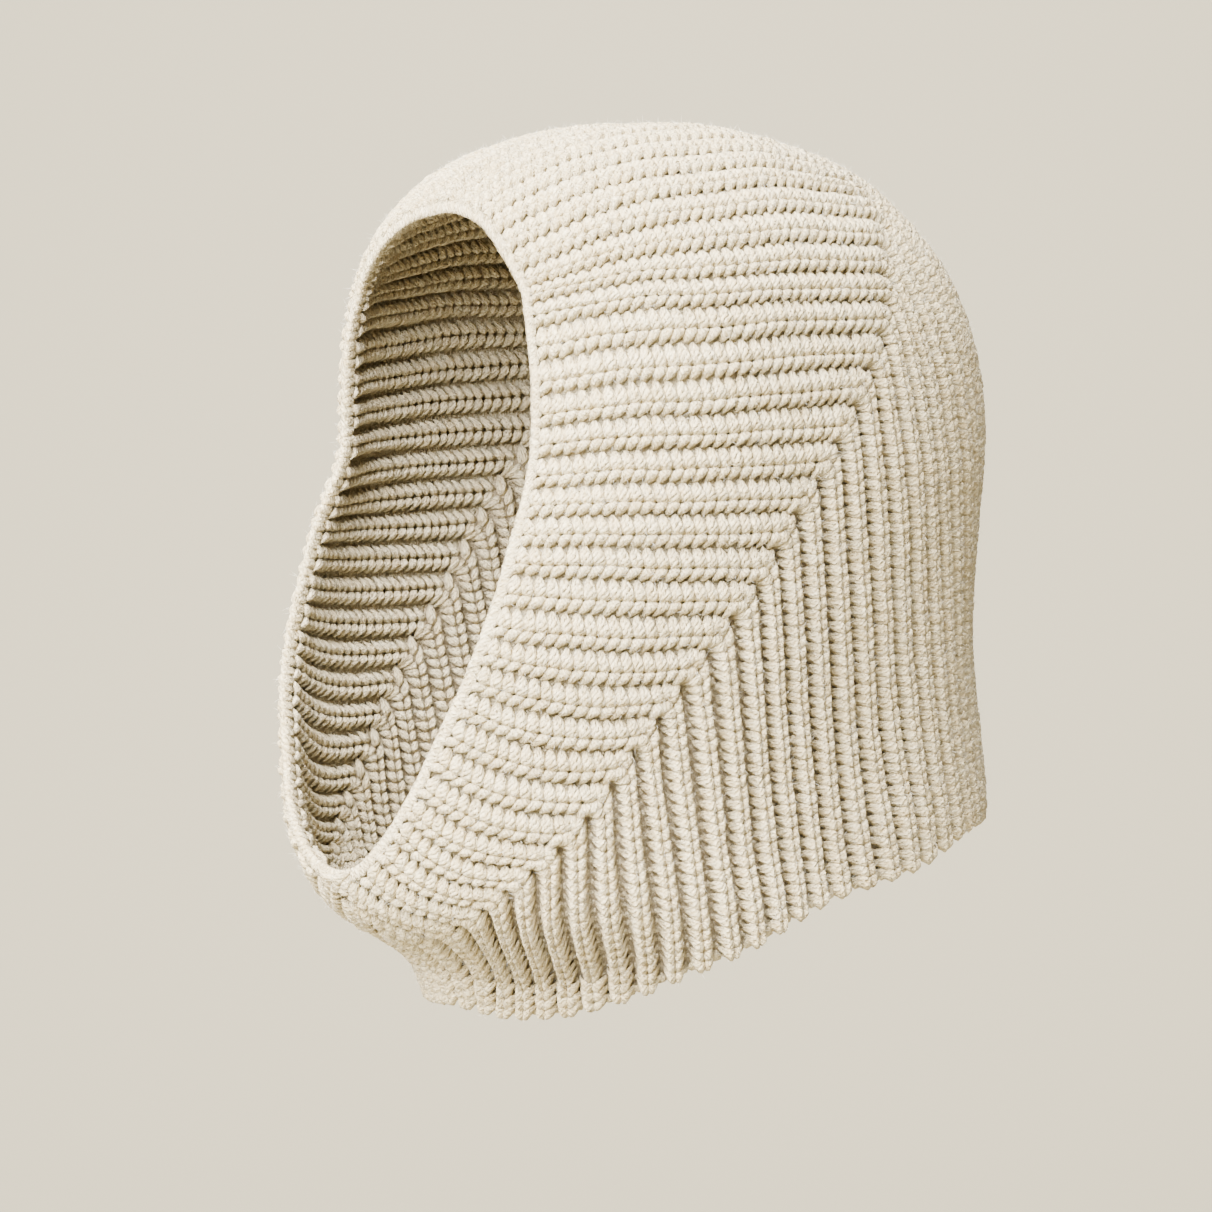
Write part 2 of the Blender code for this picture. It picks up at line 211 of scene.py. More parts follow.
HEM = [
    Guide(0.0, 0.000, 0.563, 0.800), Guide(4.5, 0.363, 0.530, 0.801), Guide(9.0, 0.655, 0.425, 0.807),
    Guide(12.5, 0.818, 0.292, 0.837), Guide(16.5, 0.922, 0.098, 0.865), Guide(20.5, 0.906, -0.055, 0.913),
    Guide(22.5, 0.813, -0.130, 0.939), Guide(24.5, 0.670, -0.187, 0.967), Guide(26.5, 0.506, -0.236, 0.988),
    Guide(28.5, 0.350, -0.275, 0.996), Guide(30.5, 0.200, -0.304, 0.995), Guide(33.0, 0.000, -0.322, 0.989),
]


# %% Reading the chart
def over_both_ends(table):
    """A table carried over its ends to the other half of the hood."""
    last = table[-1].rib
    before = [Guide(-row.rib, -row.across, row.along, row.down) for row in (table[2], table[1])]
    after = [Guide(2 * last - row.rib, -row.across, row.along, row.down) for row in (table[-2], table[-3])]
    return before + table + after


def guide_points(table, ribs):
    """Where a guide line passes some ribs."""
    across, along, down = curve_through(table, ribs).T
    return np.array([across * HALF_WIDTH, along * LENGTH, WALL - down * HEIGHT]).T


def rib_start(ribs):
    """Where ribs begin: at the face opening, or under the chin."""
    ribs = np.atleast_1d(ribs)
    at_rim = guide_points(over_both_ends(FACE_RIM), np.minimum(ribs, RIM_ENDS_AT))
    at_throat = guide_points(UNDER_CHIN, np.maximum(ribs, RIM_ENDS_AT))
    return np.where((ribs < RIM_ENDS_AT)[:, None], at_rim, at_throat)


# %% [markdown]
# One line of the chart becomes a path: a smooth bend from the rim through its middle to the mitre, then a
# straight run to the hem, laid on the form. Real ribs don't turn a sharp corner, so we round the mitre.

# %% The path of one rib
STEP = 0.0005
CORNER = 0.0055
Path = namedtuple("Path", "points normals mitre_at")


def lengths_along(points):
    """Running length along a line of points."""
    return np.concatenate([[0], np.cumsum(np.linalg.norm(np.diff(points, axis=0), axis=1))])


def walk(points, distances):
    """Points at some distances along a line of points."""
    along = lengths_along(points)
    return np.array([np.interp(distances, along, points[:, axis]) for axis in range(3)]).T


def rib_path(rib):
    """The path of one line of the chart, from the rim over the mitre to the hem, in even steps."""
    start = rib_start(rib)[0]
    middle = guide_points(over_both_ends(RIB_MIDDLE), rib)[0]
    turn = guide_points(over_both_ends(MITRE), rib)[0]
    end = guide_points(over_both_ends(HEM), rib)[0]
    first, second = np.linalg.norm(middle - start), np.linalg.norm(turn - middle)
    bend = first / (first + second)
    share = np.linspace(0, 1, 60)[:, None]
    front = (start * ((share - bend) * (share - 1) / bend)
             + middle * (share * (share - 1) / (bend * (bend - 1)))
             + turn * (share * (share - bend) / (1 - bend)))
    front = onto_form(front)
    back = onto_form(turn + (end - turn) * share)
    to_mitre, to_hem = lengths_along(front)[-1], lengths_along(back)[-1]
    corner = min(CORNER, 0.4 * to_mitre, 0.4 * to_hem)
    before = walk(front, np.arange(0, to_mitre - corner, STEP))
    after = walk(back, np.arange(corner, to_hem, STEP))
    share = np.linspace(0, 1, 12)[1:-1, None]
    bend = before[-1] * (1 - share) ** 2 + front[-1] * 2 * share * (1 - share) + after[0] * share ** 2
    whole = np.concatenate([before, onto_form(bend), after, back[-1:]])
    length = lengths_along(whole)[-1]
    points = walk(whole, np.linspace(0, length, int(length / STEP) + 1))
    if rib in (0, RIBS_A_SIDE):
        points[:, 0] = 0
    return Path(points, way_out(points), lengths_along(before)[-1] + corner / 2)


paths = {half / 2: rib_path(half / 2) for half in range(2 * RIBS_A_SIDE + 1)}
print("longest rib:", round(max(len(path.points) for path in paths.values()) * STEP, 3), "m")

# %% [markdown]
# Hand knitting is never perfectly even. A few long, weak waves run through the whole hood and shift the knit
# by a fraction of a millimetre, all pieces together.

# %% Gentle unevenness
chance = np.random.default_rng(7)
WAVES = 9
# How fast the waves turn, in radians a metre, and how high they are
WAVE_RATE, WAVE_HEIGHT = 120, 0.00015
wave_ways = chance.normal(0, 1, (WAVES, 3)) * WAVE_RATE
wave_starts = chance.uniform(0, 2 * pi, WAVES)
wave_shifts = chance.normal(0, 1, (WAVES, 3)) * WAVE_HEIGHT


def unevenness(points):
    """A small smooth shift for each point, alike for points that lie close together."""
    return np.sin(points @ wave_ways.T + wave_starts) @ wave_shifts


print("largest shift:", round(float(np.abs(unevenness(paths[16].points)).max()) * 1000, 2), "mm")

# %% [markdown]
# ## Yarn
# The yarn is matt cream wool, spun from a few plies with a soft halo of fibres. Its base colour drifts a
# little from stitch to stitch, and painted shade makes it deeper between the plies and between the fine
# strands. The twist of the plies and the fine fibres are bump too, and a touch of sheen gives the soft bright
# edge of wool.

# %% Parts that materials share
def ramp_of(nodes, low_at, low, high_at, high):
    """A ramp between two colours."""
    ramp = nodes.new("ShaderNodeValToRGB")
    ramp.color_ramp.elements[0].position = low_at
    ramp.color_ramp.elements[0].color = (*low, 1)
    ramp.color_ramp.elements[1].position = high_at
    ramp.color_ramp.elements[1].color = (*high, 1)
    return ramp


def multiply(nodes, links, colour, shade, strength):
    """A colour darkened by a shade."""
    mix = nodes.new("ShaderNodeMix")
    mix.data_type = "RGBA"
    mix.blend_type = "MULTIPLY"
    mix.inputs[0].default_value = strength
    links.new(colour, mix.inputs[6])
    links.new(shade, mix.inputs[7])
    return mix.outputs[2]


def bump(nodes, links, height, distance, below=None):
    """A bump of a height in metres, laid over another one."""
    relief = nodes.new("ShaderNodeBump")
    relief.inputs["Strength"].default_value = 1
    relief.inputs["Distance"].default_value = distance
    links.new(height, relief.inputs["Height"])
    if below is not None:
        links.new(below, relief.inputs["Normal"])
    return relief.outputs["Normal"]


# %% The wool material
PLIES_AROUND, PLIES_ALONG = 8, 5.2
PLY_BUMP, STRAND_BUMP, FELT_BUMP = 0.00035, 0.0010, 0.0010
STRAND_SLANT = radians(-34)


def wool(name, light, dark):
    """Cream wool: drifting colour, painted shade between plies and strands, plies twisted along the UV map,
    fine fibres and sheen.
    """
    material = bpy.data.materials.new(name)
    material.use_nodes = True
    nodes, links = material.node_tree.nodes, material.node_tree.links
    shader = nodes["Principled BSDF"]
    shader.inputs["Roughness"].default_value = 0.8
    shader.inputs["Specular IOR Level"].default_value = 0.25
    shader.inputs["Sheen Weight"].default_value = 0.18
    shader.inputs["Sheen Roughness"].default_value = 0.45

    place = nodes.new("ShaderNodeTexCoord")
    drift = nodes.new("ShaderNodeTexNoise")
    drift.inputs["Scale"].default_value = 170
    drift.inputs["Detail"].default_value = 3
    links.new(place.outputs["Object"], drift.inputs["Vector"])
    colours = ramp_of(nodes, 0.34, dark, 0.60, light)
    links.new(drift.outputs["Fac"], colours.inputs["Fac"])

    uv = nodes.new("ShaderNodeUVMap")
    uv.uv_map = "yarn"
    twist = nodes.new("ShaderNodeMapping")
    twist.inputs["Scale"].default_value = (2 * pi * PLIES_AROUND / 10, 2 * pi * PLIES_ALONG / 10, 0)
    links.new(uv.outputs["UV"], twist.inputs["Vector"])
    plies = nodes.new("ShaderNodeTexWave")
    plies.wave_type = "BANDS"
    plies.bands_direction = "DIAGONAL"
    plies.inputs["Scale"].default_value = 1
    plies.inputs["Distortion"].default_value = 2.0
    plies.inputs["Detail"].default_value = 2
    plies.inputs["Detail Scale"].default_value = 1.5
    links.new(twist.outputs["Vector"], plies.inputs["Vector"])
    # Painted shade: the ply bands darken the colour in the dips between the plies.
    ply_painted_shade = ramp_of(nodes, 0.0, (0.74, 0.69, 0.60), 0.45, (1, 1, 1))
    links.new(plies.outputs["Fac"], ply_painted_shade.inputs["Fac"])
    shaded = multiply(nodes, links, colours.outputs["Color"], ply_painted_shade.outputs["Color"], 0.8)

    strands = nodes.new("ShaderNodeMapping")
    strands.inputs["Rotation"].default_value = (0, 0, STRAND_SLANT)
    strands.inputs["Scale"].default_value = (13, 2.8, 0)
    links.new(uv.outputs["UV"], strands.inputs["Vector"])
    fibres = nodes.new("ShaderNodeTexNoise")
    fibres.inputs["Scale"].default_value = 1
    fibres.inputs["Detail"].default_value = 4
    fibres.inputs["Roughness"].default_value = 0.65
    fibres.inputs["Distortion"].default_value = 0.4
    links.new(strands.outputs["Vector"], fibres.inputs["Vector"])
    # Painted shade: the fibre noise darkens the colour between the fine strands.
    strand_painted_shade = ramp_of(nodes, 0.38, (0.70, 0.635, 0.515), 0.55, (1, 1, 1))
    links.new(fibres.outputs["Fac"], strand_painted_shade.inputs["Fac"])
    colour_with_painted_shade = multiply(nodes, links, shaded, strand_painted_shade.outputs["Color"], 0.8)
    links.new(colour_with_painted_shade, shader.inputs["Base Color"])

    felt = nodes.new("ShaderNodeTexNoise")
    felt.inputs["Scale"].default_value = 900
    felt.inputs["Detail"].default_value = 3
    links.new(place.outputs["Object"], felt.inputs["Vector"])
    plied = bump(nodes, links, plies.outputs["Fac"], PLY_BUMP)
    stranded = bump(nodes, links, fibres.outputs["Fac"], STRAND_BUMP, plied)
    felted = bump(nodes, links, felt.outputs["Fac"], FELT_BUMP, stranded)
    links.new(felted, shader.inputs["Normal"])
    return material


yarn = wool("cream_yarn", (0.93, 0.83, 0.565), (0.88, 0.755, 0.48))
# Painted light: a paler copy of the cream yarn for the inner stitches and the front sheet, which lie in shade
# inside the hood.
painted_light_inner_yarn = wool("painted_light_inner_yarn", (0.93, 0.84, 0.60), (0.88, 0.76, 0.51))
# Painted shade: a darker, browner copy of the yarn for the sheet deep in the back grooves.
painted_shade_core_yarn = wool("painted_shade_core_yarn", (0.65, 0.55, 0.38), (0.57, 0.48, 0.32))
print("materials:", yarn.name, painted_light_inner_yarn.name, painted_shade_core_yarn.name)


# %% [markdown]
# ## One leg of a stitch
# A knit stitch is a V, and each half of it is a plump leg of yarn. We model one leg from a sphere
# with few faces, because it will be repeated thousands of times: its poles are laid along the leg and its
# ends blunted. It runs from 0 to 1 along X, so it can be stretched to any leg of the hood.

# %% Model a leg
# Where each ring of the leg lies along it, and how full the yarn is there
LEG_RINGS = [(0.0, 0.0), (0.05, 0.52), (0.22, 0.93), (0.46, 1.0), (0.70, 0.76), (0.95, 0.42), (1.0, 0.0)]


def model_leg(name, around, rings):
    """A plump leg of yarn from x = 0 to x = 1, one unit thick each way from its middle line."""
    bpy.ops.object.select_all(action="DESELECT")
    bpy.ops.mesh.primitive_uv_sphere_add(segments=around, ring_count=len(rings) - 1, radius=1,
                                         location=(0, 0, 0), rotation=(0, pi / 2, 0))
    leg = bpy.context.object
    leg.name = name
    bpy.ops.object.transform_apply(location=False, rotation=True, scale=False)
    leg.data.uv_layers[0].name = "yarn"
    for vertex in leg.data.vertices:
        turn = np.arccos(np.clip(-vertex.co.x, -1, 1))
        along, full = rings[int(round(turn / pi * (len(rings) - 1)))]
        girth = np.hypot(vertex.co.y, vertex.co.z)
        if girth > 1e-6:
            vertex.co.y *= full / girth
            vertex.co.z *= full / girth
        vertex.co.x = along
    return leg


def take_shape(leg):
    """Reads a modelled leg into arrays, so that thousands of copies can be laid at once, and removes it."""
    mesh = leg.data
    points = np.array([vertex.co for vertex in mesh.vertices])
    faces = [tuple(polygon.vertices) for polygon in mesh.polygons]
    uvs = np.array([mesh.uv_layers[0].data[corner].uv for polygon in mesh.polygons
                    for corner in polygon.loop_indices])
    bpy.data.objects.remove(leg, do_unlink=True)
    return points, faces, uvs


outer_leg = take_shape(model_leg("leg", 6, LEG_RINGS))
inner_leg = take_shape(model_leg("inner_leg", 5, LEG_RINGS[:2] + [(0.38, 1.0)] + LEG_RINGS[4:]))
print("faces of a leg:", len(outer_leg[1]), "outside,", len(inner_leg[1]), "inside")


# %% [markdown]
# ## Laying legs on the form
# A leg hangs between two places: the middle of its rib and the groove beside it. Between them it arches: low
# where the two legs of a V meet, which leaves the small dark hole between stitches, high over the rib's
# shoulder, and deep in the groove. All the legs of a piece are joined into one mesh.

# %% Join many copies of a shape into one mesh
def join_copies(name, points, faces, count, material):
    """One object from many copies of a shape: all their points, and the faces of one copy."""
    size = len(points) // count
    corners = np.array([corner for face in faces for corner in face])
    sides = np.tile([len(face) for face in faces], count)
    mesh = bpy.data.meshes.new(name)
    mesh.vertices.add(len(points))
    mesh.vertices.foreach_set("co", points.reshape(-1).astype(np.float32))
    mesh.loops.add(len(corners) * count)
    mesh.loops.foreach_set("vertex_index", (corners + (np.arange(count) * size)[:, None]).reshape(-1))
    mesh.polygons.add(len(sides))
    mesh.polygons.foreach_set("loop_start", np.concatenate([[0], np.cumsum(sides)[:-1]]))
    mesh.update(calc_edges=True)
    mesh.materials.append(material)
    piece = bpy.data.objects.new(name, mesh)
    bpy.context.scene.collection.objects.link(piece)
    print(name, "copies:", count, "triangles:", int((sides - 2).sum()))
    return piece


# %% Lay many legs
Legs = namedtuple("Legs", "middle groove normal ahead thickness spread lean sink relief tint")
# How deep below the form a leg's middle line runs, at these shares of its way from the rib to the groove
ARCH_AT = [0, 0.2, 0.45, 0.7, 0.9, 1]
FRONT_ARCH = [-0.0014, -0.0012, -0.0012, -0.0014, -0.0018, -0.0023]
BACK_ARCH = [-0.0018, -0.0013, -0.0010, -0.0017, -0.0036, -0.0050]
INNER_ARCH = [-0.0050, -0.0055, -0.0056, -0.0050, -0.0042, -0.0035]
# How late a leg bends away along its rib, how far its yarn pattern is shifted, and how rough its skin is
LEAN_CURVE, PATTERN_SHIFT, ROUGHNESS = 1.4, 5, 0.00009


def lay_legs(name, shape, legs, arch, plump, material):
    """One copy of the leg for each row of legs, all joined into one object."""
    points, faces, uvs = shape
    share, sideways, up = points.T
    rise = np.interp(share, ARCH_AT, arch)
    rise = rise[None, :] * legs.relief[:, None] - legs.sink[:, None]
    thick = legs.thickness[:, None] + (legs.spread - legs.thickness)[:, None] * share[None, :]
    along = thick * sideways - legs.lean[:, None] * share ** LEAN_CURVE
    place = (legs.middle[:, None, :] + (legs.groove - legs.middle)[:, None, :] * share[None, :, None]
             + legs.ahead[:, None, :] * along[:, :, None]
             + legs.normal[:, None, :] * (rise + plump * up)[:, :, None])
    place += chance.normal(0, ROUGHNESS, place.shape)
    place = place.reshape(-1, 3)
    piece = join_copies(name, place + unevenness(place), faces, len(legs.middle), material)
    layer = piece.data.uv_layers.new(name="yarn")
    shifted = uvs[None] + legs.tint[:, None, None] * PATTERN_SHIFT
    layer.data.foreach_set("uv", shifted.reshape(-1).astype(np.float32))
    piece.data.polygons.foreach_set("use_smooth", np.ones(len(piece.data.polygons), bool))
    return piece


def join(parts):
    """Several groups of legs as one."""
    return Legs(*(np.concatenate(columns) for columns in zip(*parts)))


def other_side(legs):
    """The same legs on the other half of the hood."""
    turn = np.array([-1, 1, 1])
    return legs._replace(middle=legs.middle * turn, groove=legs.groove * turn,
                         normal=legs.normal * turn, ahead=legs.ahead * turn)


# %% [markdown]
# ## Rows of stitches
# Along each rib the stitches follow each other every 3.6 mm in front and every 3.3 mm at the back. For each
# we take its place on the rib, and the place straight across from it in the groove on either side. Where the
# rib turns, the far ends of the legs fan out, so they are made thicker there. Under the chin the ribs close
# up into a welt, with a soft crease above it.

# %% Find where every stitch goes
PITCH, BACK_PITCH = 0.0036, 0.0033
# How much the stitches vary: shares for their place, fullness and lean, and metres for their depth
PLACE_VARIES, FULL_VARIES, LEAN_VARIES, DEPTH_VARIES = 0.035, 0.06, 0.25, 0.00018
# The welt: its height, the rib where it begins, the ribs and metres that it fades over, how much flatter
WELT, WELT_FROM_RIB, WELT_GROWS, WELT_FADES, WELT_FLATTER = 0.0100, 23.5, 2.5, 0.0015, 0.30
CREASE_ABOVE_HEM, CREASE_WIDTH, CREASE_DEPTH = 0.0105, 0.0017, 0.0009
# In the welt and at the start of a rib the legs reach right across
CLOSED_REACH, CLOSED_FOR = 1.04, 0.007
INNER_END_AHEAD = 0.0004
LEAST_SPREAD, MOST_SPREAD = 0.36, 0.85
DIRECTION_SPAN = 4
NEARNESS_COUNTS = 0.18
SMOOTHING = [0.1, 0.22, 0.36, 0.22, 0.1]


def across_from(path, places, ahead):
    """The point of a path that lies most nearly straight across from each of some places."""
    away = path.points[None, :, :] - places[:, None, :]
    off_line = np.abs((away * ahead[:, None, :]).sum(axis=2))
    nearest = (off_line + NEARNESS_COUNTS * np.linalg.norm(away, axis=2)).argmin(axis=1).astype(float)
    if len(nearest) > 4:
        longer = np.concatenate([2 * nearest[:1] - nearest[2:0:-1], nearest,
                                 2 * nearest[-1:] - nearest[-2:-4:-1]])
        steady = np.convolve(longer, SMOOTHING, "same")[2:-2]
        nearest = np.clip(steady, 0, len(path.points) - 1)
    return walk(path.points, nearest * lengths_along(path.points)[-1] / (len(path.points) - 1))


def under_chin(rib):
    """1 for the ribs under the chin, fading to 0 at the sides."""
    return np.clip((rib - WELT_FROM_RIB) / WELT_GROWS, 0, 1)


def in_welt(rib, to_hem):
    """1 inside the welt under the chin, where the ribs close up, fading to 0 outside it."""
    return under_chin(rib) * np.clip((WELT - to_hem) / WELT_FADES, 0, 1)


def in_crease(rib, to_hem):
    """How strongly the crease above the welt draws a stitch in, from 0 to 1."""
    return under_chin(rib) * np.exp(-((to_hem - CREASE_ABOVE_HEM) / CREASE_WIDTH) ** 2)


def legs_of_rib(rib, side, begin, stop, pitch, style, reach, narrow):
    """The legs on one side of a rib, between two distances along it.

    Reach says how far across to the groove they go, and narrow how full their far ends are.
    """
    path = paths[rib]
    count = max(1, int(round((stop - begin) / pitch)))
    pitch = (stop - begin) / count
    distances = begin + (np.arange(count) + 0.5 + chance.uniform(-PLACE_VARIES, PLACE_VARIES, count)) * pitch
    to_hem = lengths_along(path.points)[-1] - distances
    welt, crease = in_welt(rib, to_hem)[:, None], in_crease(rib, to_hem)
    index = np.clip((distances / STEP).astype(int), 1, len(path.points) - 2)
    middle = walk(path.points, distances)
    ahead = (path.points[np.minimum(index + DIRECTION_SPAN, len(path.points) - 1)]
             - path.points[np.maximum(index - DIRECTION_SPAN, 0)])
    ahead /= np.linalg.norm(ahead, axis=1, keepdims=True)
    groove = across_from(paths[rib + side * 0.5], middle, ahead)
    closed = np.maximum(welt, np.exp(-((distances - begin) / CLOSED_FOR) ** 2)[:, None])
    reach = reach + (CLOSED_REACH - reach) * closed
    middle, groove = middle + (groove - middle) * style.shift, middle + (groove - middle) * reach
    apart = np.linalg.norm(np.gradient(groove, axis=0), axis=1) if count > 1 else np.full(1, pitch)
    thickness = pitch * style.full * chance.uniform(1 - FULL_VARIES, 1 + FULL_VARIES, count)
    spread = np.clip(apart * narrow, LEAST_SPREAD * pitch, MOST_SPREAD * pitch)
    return Legs(middle=middle + ahead * INNER_END_AHEAD, groove=groove, normal=path.normals[index],
                ahead=ahead, thickness=thickness, spread=spread,
                lean=style.lean * chance.uniform(1 - LEAN_VARIES, 1 + LEAN_VARIES, count),
                sink=chance.uniform(-DEPTH_VARIES, DEPTH_VARIES, count) + crease * CREASE_DEPTH,
                relief=1 - WELT_FLATTER * welt[:, 0], tint=chance.random(count))


# %% [markdown]
# On the front ribs the upper leg of each V is the broad one and hardly leans, and the lower one is short and
# leans like a slash. On the back ribs the leg towards the face is the broad one. Each rib is rounder and
# narrower there, so that more of the dark groove shows. At the mitre the outside of each turning rib is
# longer than its inside, so a few extra legs fill its corner.

# %% Outer stitches
EDGE, HEM_EDGE = 0.0026, 0.0004
CORNER_HALF, CORNER_PITCH = 0.0027, 0.0018
FRONT_REACHES, FRONT_NARROWS = 1.05, 0.50
CORNER_REACHES, CORNER_NARROWS = 0.98, 0.46
BACK_REACHES, BACK_NARROWS = 0.80, 0.76
FRONT_PLUMP, BACK_PLUMP = 0.00155, 0.00150
# How full a leg is, how far across the rib its inner end starts, and how far its outer end lags
LegStyle = namedtuple("LegStyle", "full shift lean")
FRONT_UPPER = LegStyle(full=0.84, shift=-0.28, lean=0.0006)
FRONT_LOWER = LegStyle(full=0.69, shift=0.16, lean=0.0022)
FRONT_CORNER = LegStyle(full=0.9, shift=0.0, lean=0.0006)
BACK_REAR = LegStyle(full=0.66, shift=-0.02, lean=0.0024)
BACK_FORWARD = LegStyle(full=0.78, shift=-0.14, lean=0.0010)
front_parts, back_parts = [], []
for rib in range(RIBS_A_SIDE + 1):
    path = paths[rib]
    whole = lengths_along(path.points)[-1]
    begin = EDGE if rib < RIM_ENDS_AT else 0
    for side in (-1, 1):
        if not 0 <= rib + side * 0.5 <= RIBS_A_SIDE:
            continue
        if path.mitre_at - begin > PITCH:
            style = FRONT_UPPER if side < 0 else FRONT_LOWER
            front_parts.append(legs_of_rib(rib, side, begin, path.mitre_at, PITCH, style,
                                           FRONT_REACHES, FRONT_NARROWS))
            if side < 0:
                front_parts.append(legs_of_rib(rib, side, path.mitre_at - CORNER_HALF,
                                               path.mitre_at + CORNER_HALF, CORNER_PITCH,
                                               FRONT_CORNER, CORNER_REACHES, CORNER_NARROWS))
        style = BACK_REAR if side < 0 else BACK_FORWARD
        back_parts.append(legs_of_rib(rib, side, path.mitre_at, whole - HEM_EDGE, BACK_PITCH, style,
                                      BACK_REACHES, BACK_NARROWS))

front_legs, back_legs = join(front_parts), join(back_parts)
front_stitches = lay_legs("front_stitches", outer_leg, join([front_legs, other_side(front_legs)]),
                          FRONT_ARCH, FRONT_PLUMP, yarn)
back_left = lay_legs("back_stitches_left", outer_leg, back_legs, BACK_ARCH, BACK_PLUMP, yarn)
back_right = lay_legs("back_stitches_right", outer_leg, other_side(back_legs), BACK_ARCH, BACK_PLUMP, yarn)

# %% [markdown]
# ## The inside
# This knit looks alike on both faces: the inside has its own ribs, where the outside has grooves. They show
# through the face opening and from below, and on the back panel their backs are the bumps at the bottom of
# the outer grooves.

# %% Inner ribs
INSIDE = LegStyle(full=0.62, shift=0.0, lean=0.0017)
INNER_REACHES, INNER_NARROWS = 0.90, 0.53
INNER_PLUMP = 0.00125
front_parts, back_parts = [], []
for rib in range(RIBS_A_SIDE):
    path = paths[rib + 0.5]
    whole = lengths_along(path.points)[-1]
    begin = EDGE if rib + 0.5 < RIM_ENDS_AT else 0
    for side in (-1, 1):
        if path.mitre_at - begin > PITCH:
            front_parts.append(legs_of_rib(rib + 0.5, side, begin, path.mitre_at, PITCH, INSIDE,
                                           INNER_REACHES, INNER_NARROWS))
        back_parts.append(legs_of_rib(rib + 0.5, side, path.mitre_at, whole - HEM_EDGE, BACK_PITCH, INSIDE,
                                      INNER_REACHES, INNER_NARROWS))

front_inner, back_inner = join(front_parts), join(back_parts)
front_lining = lay_legs("front_lining", inner_leg, join([front_inner, other_side(front_inner)]),
                        INNER_ARCH, INNER_PLUMP, painted_light_inner_yarn)
back_lining_left = lay_legs("back_lining_left", inner_leg, back_inner, INNER_ARCH, INNER_PLUMP, painted_light_inner_yarn)
back_lining_right = lay_legs("back_lining_right", inner_leg, other_side(back_inner), INNER_ARCH,
                             INNER_PLUMP, painted_light_inner_yarn)


# %% [markdown]
# Between the two faces lies the heart of the knit, where the yarn crosses from one to the other. We make it
# a thin sheet, which closes the small holes between the stitches. On the back ribs it lies deep in the
# grooves, and there its colour is painted shade, darker and browner, so that they read as dark lines.

# %% The heart of the knit
UNDER_CREST, UNDER_FRONT_GROOVE, UNDER_BACK_GROOVE = 0.0030, 0.0027, 0.0052
CORE_ROWS, CORE_THICKNESS = 40, 0.0004
CORE_FROM_RIM, CORE_FROM_HEM, CORE_PAST_MITRE = 0.0015, 0.001, 0.001


def core_sheet(name, begin_at, end_at, in_groove, material):
    """A thin closed sheet between the outer and the inner stitches, at one depth in the grooves."""
    grid = []
    for half in range(2 * RIBS_A_SIDE + 1):
        path = paths[half / 2]
        begin, end = begin_at(half / 2, path), end_at(half / 2, path)
        along = np.linspace(begin, end, CORE_ROWS + 1)
        index = np.clip((along / STEP).astype(int), 0, len(path.points) - 1)
        depth = UNDER_CREST if half % 2 == 0 else in_groove
        grid.append(path.points[index] - path.normals[index] * depth)
    left = np.array(grid)
    far = left.shape[0] * left.shape[1]
    points = np.concatenate([left.reshape(-1, 3), (left * [-1, 1, 1]).reshape(-1, 3)])
    points = points + unevenness(points)
    faces = []
    for column in range(len(left) - 1):
        for row in range(CORE_ROWS):
            a = column * (CORE_ROWS + 1) + row
            b = a + CORE_ROWS + 1
            faces.append((a, b, b + 1, a + 1))
            faces.append((far + a, far + a + 1, far + b + 1, far + b))
    mesh = bpy.data.meshes.new(name)
    mesh.from_pydata(points.tolist(), [], faces)
    mesh.uv_layers.new(name="yarn")
    mesh.materials.append(material)
    piece = bpy.data.objects.new(name, mesh)
    bpy.context.scene.collection.objects.link(piece)
    bpy.ops.object.select_all(action="DESELECT")
    bpy.context.view_layer.objects.active = piece
    piece.select_set(True)
    bpy.ops.object.mode_set(mode="EDIT")
    bpy.ops.mesh.select_all(action="SELECT")
    bpy.ops.mesh.remove_doubles(threshold=0.00001)
    bpy.ops.object.mode_set(mode="OBJECT")
    solid = piece.modifiers.new("thickness", "SOLIDIFY")
    solid.thickness = CORE_THICKNESS
    solid.offset = 0
    bpy.ops.object.modifier_apply(modifier="thickness")
    bpy.ops.object.shade_smooth()
    print(name, "faces:", len(piece.data.polygons))
    return piece


front_core = core_sheet("front_core", lambda rib, path: CORE_FROM_RIM if rib < RIM_ENDS_AT else 0,
                        lambda rib, path: path.mitre_at + CORE_PAST_MITRE, UNDER_FRONT_GROOVE, painted_light_inner_yarn)
back_core = core_sheet("back_core", lambda rib, path: path.mitre_at - CORE_PAST_MITRE,
                       lambda rib, path: lengths_along(path.points)[-1] - CORE_FROM_HEM,
                       UNDER_BACK_GROOVE, painted_shade_core_yarn)


# %% [markdown]
# ## The edge of the face opening
# Along the face opening the edge stitches wrap round from the outside to the inside, one close beside the
# other, and make a narrow smooth roll.

# %% Stitches that wrap round an edge
Wrap = namedtuple("Wrap", "back top bottom pitch full")
EDGE_WRAP = Wrap(back=0.0026, top=0.0010, bottom=0.0052, pitch=PITCH * 0.8, full=0.95)
EDGE_PLUMP, EDGE_LEAN = 0.0013, 0.0006


def wrap_edge(line, normal, into, wrap):
    """One leg across the edge for each stitch: from the outside, over the edge, to the inside."""
    whole = lengths_along(line)[-1]
    count = int(round(whole / wrap.pitch))
    distances = (np.arange(count) + 0.5) * whole / count
    middle = walk(line, distances)
    along = lengths_along(line)
    over = np.array([np.interp(distances, along, into[:, axis]) for axis in range(3)]).T
    out = np.array([np.interp(distances, along, normal[:, axis]) for axis in range(3)]).T
    ahead = np.gradient(middle, axis=0)
    ahead /= np.linalg.norm(ahead, axis=1, keepdims=True)
    thickness = whole / count * chance.uniform(wrap.full * 0.96, wrap.full * 1.04, count)
    return Legs(middle=middle - over * wrap.back - out * wrap.top,
                groove=middle - over * wrap.back - out * wrap.bottom, normal=over, ahead=ahead,
                thickness=thickness, spread=thickness, lean=np.full(count, EDGE_LEAN),
                sink=np.zeros(count), relief=np.ones(count), tint=chance.random(count))


